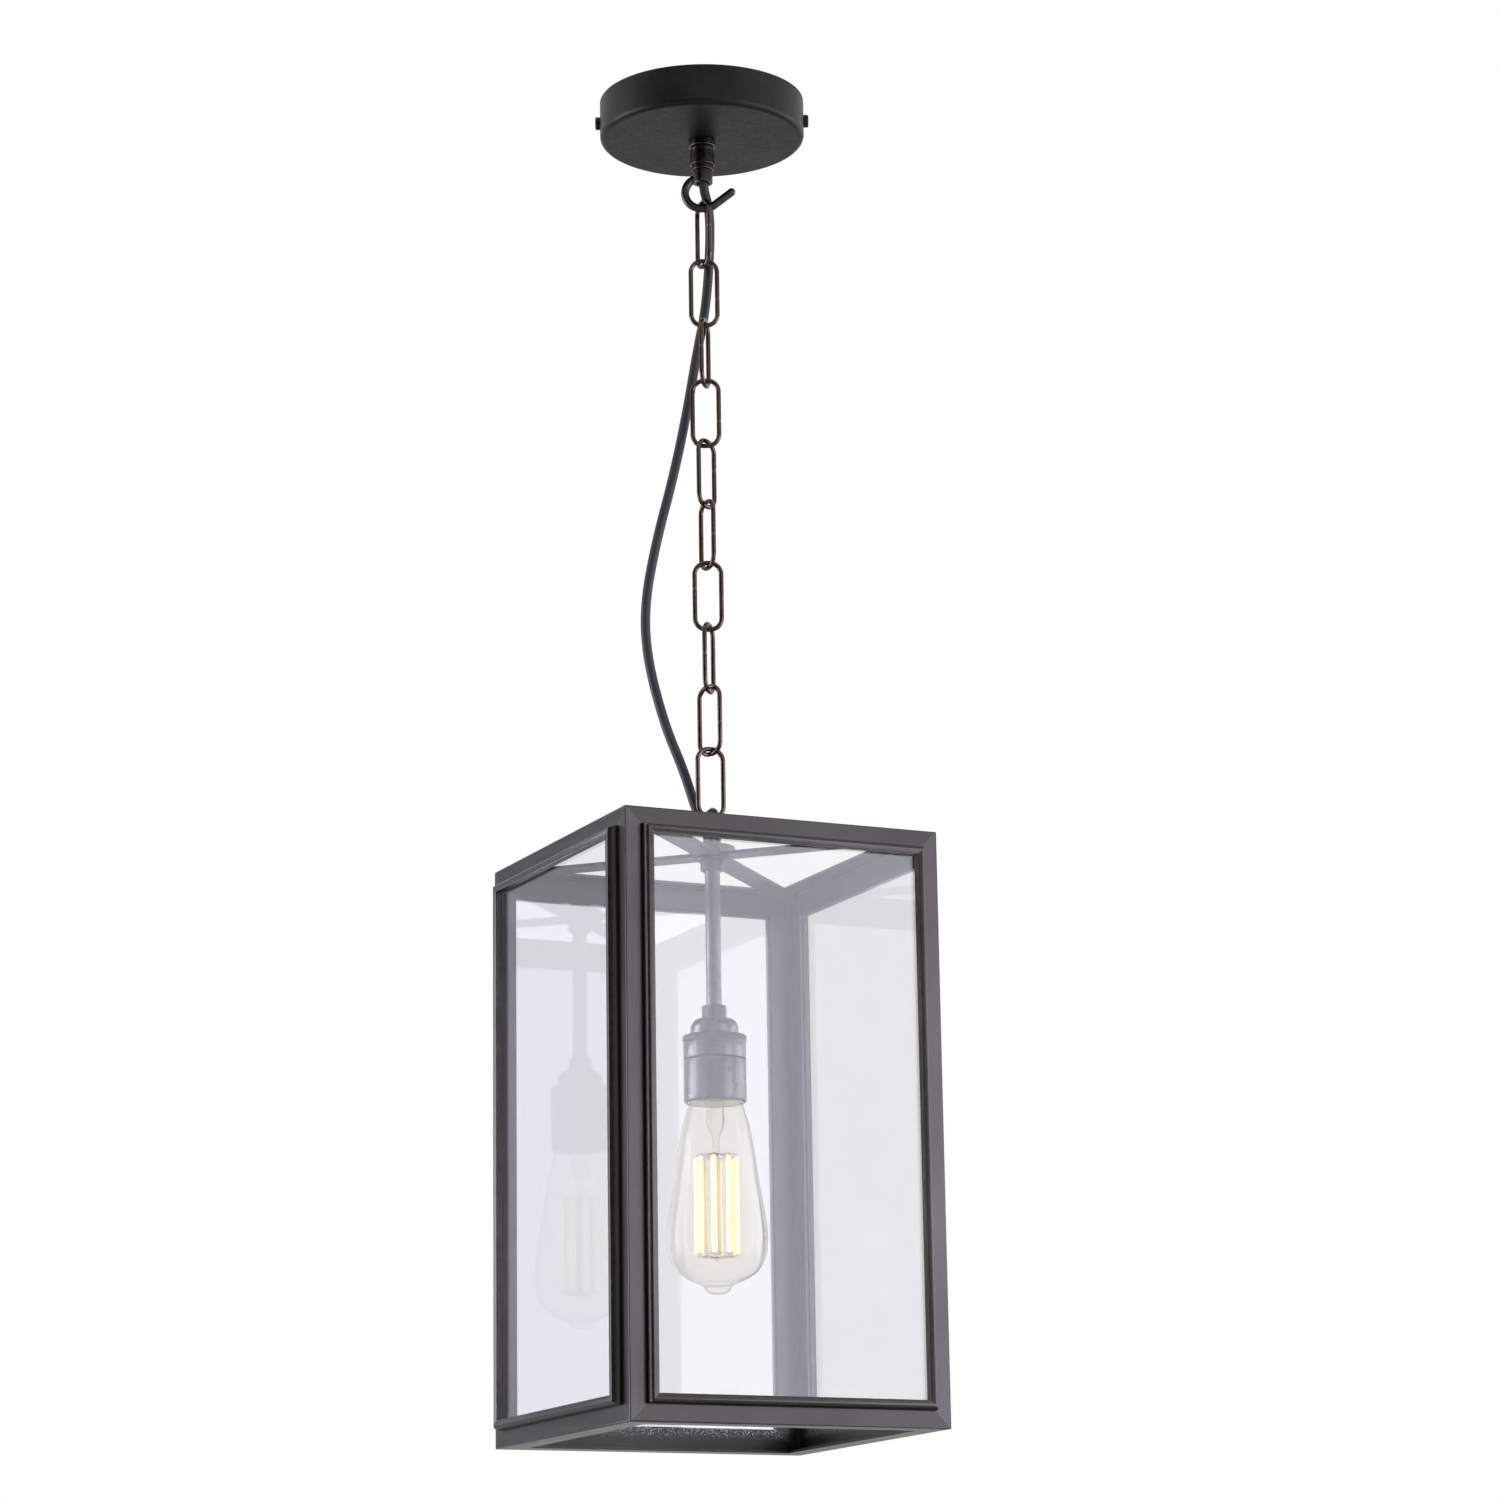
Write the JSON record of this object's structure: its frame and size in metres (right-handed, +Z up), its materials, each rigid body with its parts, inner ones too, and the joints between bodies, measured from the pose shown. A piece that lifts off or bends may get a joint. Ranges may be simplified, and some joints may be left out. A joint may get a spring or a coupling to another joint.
{
  "type": "hanging lantern",
  "caption": "Square glazed hanging lantern of mitred angle with an open foot and a bulb on a centre rod, hung from a ceiling rose by a hook, a chain and a loose dark flex.",
  "frame": {"origin": "centre of the bracket's top face, where it lies on the ceiling", "axes": "+Z up to the ceiling, the glazed faces square to X and Y, -Y the front pane"},
  "size_m": [0.2268, 0.2268, 0.8856],
  "materials": {
    "rose_metal": "satin dark bronze paint",
    "plated_steel": "zinc plated",
    "bright_brass": "machined",
    "block_plastic": "moulded",
    "dark_bronze": "dark bronze patina, satin",
    "chain_bronze": "dark bronze patina, satin",
    "flex_sheath": "matt round sheath",
    "frame_patina": "dark bronze patina with soft streaks",
    "pane_glass": "clear flat",
    "porcelain": "glazed ivory",
    "lamp_cap_metal": "rolled screw cap",
    "lamp_glass_tint": "clear with warm tint",
    "clear_glass": "clear",
    "phosphor": "glowing coat",
    "wire_steel": "bright wire"
  },
  "bodies": {
    "ceiling_rose": {"ceiling_bracket": "plated_steel", "rose_cup": "rose_metal", "rose_side_screws": "rose_metal", "terminal_block": "block_plastic", "terminal_screws": "bright_brass", "earth_screw": "bright_brass", "cast_hook": "dark_bronze", "hook_nut": "plated_steel", "flex_tail_upper": "flex_sheath", "flex": "flex_sheath"},
    "link_01": {"chain_link_01": "chain_bronze"},
    "link_02": {"chain_link_02": "chain_bronze"},
    "link_03": {"chain_link_03": "chain_bronze"},
    "link_04": {"chain_link_04": "chain_bronze"},
    "link_05": {"chain_link_05": "chain_bronze"},
    "link_06": {"chain_link_06": "chain_bronze"},
    "link_07": {"chain_link_07": "chain_bronze"},
    "link_08": {"chain_link_08": "chain_bronze"},
    "link_09": {"chain_link_09": "chain_bronze"},
    "link_10": {"chain_link_10": "chain_bronze"},
    "lantern": {"hanging_loop": "dark_bronze", "cross_strap_near": "frame_patina", "cross_strap_across": "frame_patina", "hub_washer": "frame_patina", "hub_nut": "frame_patina", "centre_rod": "frame_patina", "flex_tail_lower": "flex_sheath", "post_front": "frame_patina", "post_right": "frame_patina", "post_back": "frame_patina", "post_left": "frame_patina", "lower_rail_front": "frame_patina", "lower_rail_right": "frame_patina", "lower_rail_back": "frame_patina", "lower_rail_left": "frame_patina", "upper_rail_front": "frame_patina", "upper_rail_right": "frame_patina", "upper_rail_back": "frame_patina", "upper_rail_left": "frame_patina", "glass_front": "pane_glass", "glass_right": "pane_glass", "glass_back": "pane_glass", "glass_left": "pane_glass", "beads_front": "frame_patina", "beads_right": "frame_patina", "beads_back": "frame_patina", "beads_left": "frame_patina", "holder_cap": "dark_bronze", "holder_ring": "dark_bronze", "holder_body": "dark_bronze", "holder_skirt": "dark_bronze", "holder_insert": "porcelain", "screw_shell": "bright_brass", "centre_contact": "bright_brass"},
    "lamp": {"lamp_cap": "lamp_cap_metal", "lamp_contact": "bright_brass", "lamp_glass": "lamp_glass_tint", "lamp_mount": "clear_glass", "light_sticks": "phosphor", "stick_rings": "wire_steel"}
  },
  "joints": [
    {"name": "hook_swing", "type": "hinge", "parent": "ceiling_rose", "child": "link_01", "pos_m": [0, 0, -0.0745], "axis": [0.9085, -0.4179, 0], "range_deg": [-30, 30], "deforming": ["flex"]},
    {"name": "link_02_swing", "type": "hinge", "parent": "link_01", "child": "link_02", "pos_m": [0, 0, -0.11495], "axis": [0.0401, -0.9992, 0], "range_deg": [-15, 15], "deforming": ["flex"]},
    {"name": "link_03_swing", "type": "hinge", "parent": "link_02", "child": "link_03", "pos_m": [0, 0, -0.15655], "axis": [0.9085, -0.4179, 0], "range_deg": [-15, 15], "deforming": ["flex"]},
    {"name": "link_04_swing", "type": "hinge", "parent": "link_03", "child": "link_04", "pos_m": [0, 0, -0.19815], "axis": [0.6388, 0.7694, 0], "range_deg": [-15, 15], "deforming": ["flex"]},
    {"name": "link_05_swing", "type": "hinge", "parent": "link_04", "child": "link_05", "pos_m": [0, 0, -0.23975], "axis": [0.8686, -0.4955, 0], "range_deg": [-15, 15], "deforming": ["flex"]},
    {"name": "link_06_swing", "type": "hinge", "parent": "link_05", "child": "link_06", "pos_m": [0, 0, -0.28135], "axis": [0.8634, 0.5045, 0], "range_deg": [-15, 15], "deforming": ["flex"]},
    {"name": "link_07_swing", "type": "hinge", "parent": "link_06", "child": "link_07", "pos_m": [0, 0, -0.32295], "axis": [-0.0576, 0.9983, 0], "range_deg": [-15, 15], "deforming": ["flex"]},
    {"name": "link_08_swing", "type": "hinge", "parent": "link_07", "child": "link_08", "pos_m": [0, 0, -0.36455], "axis": [-0.9085, 0.4179, 0], "range_deg": [-15, 15], "deforming": ["flex"]},
    {"name": "link_09_swing", "type": "hinge", "parent": "link_08", "child": "link_09", "pos_m": [0, 0, -0.40615], "axis": [-0.6782, -0.7349, 0], "range_deg": [-15, 15], "deforming": ["flex"]},
    {"name": "link_10_swing", "type": "hinge", "parent": "link_09", "child": "link_10", "pos_m": [0, 0, -0.44775], "axis": [0.4115, -0.9114, 0], "range_deg": [-15, 15], "deforming": ["flex"]},
    {"name": "lantern_swing", "type": "hinge", "parent": "link_10", "child": "lantern", "pos_m": [0, 0, -0.48935], "axis": [0.9966, -0.0819, 0], "range_deg": [-30, 30], "deforming": ["flex"]},
    {"name": "lamp_unscrew", "type": "slide", "parent": "lantern", "child": "lamp", "axis": [0, 0, -1], "range_m": [0, 0.03]}
  ]
}
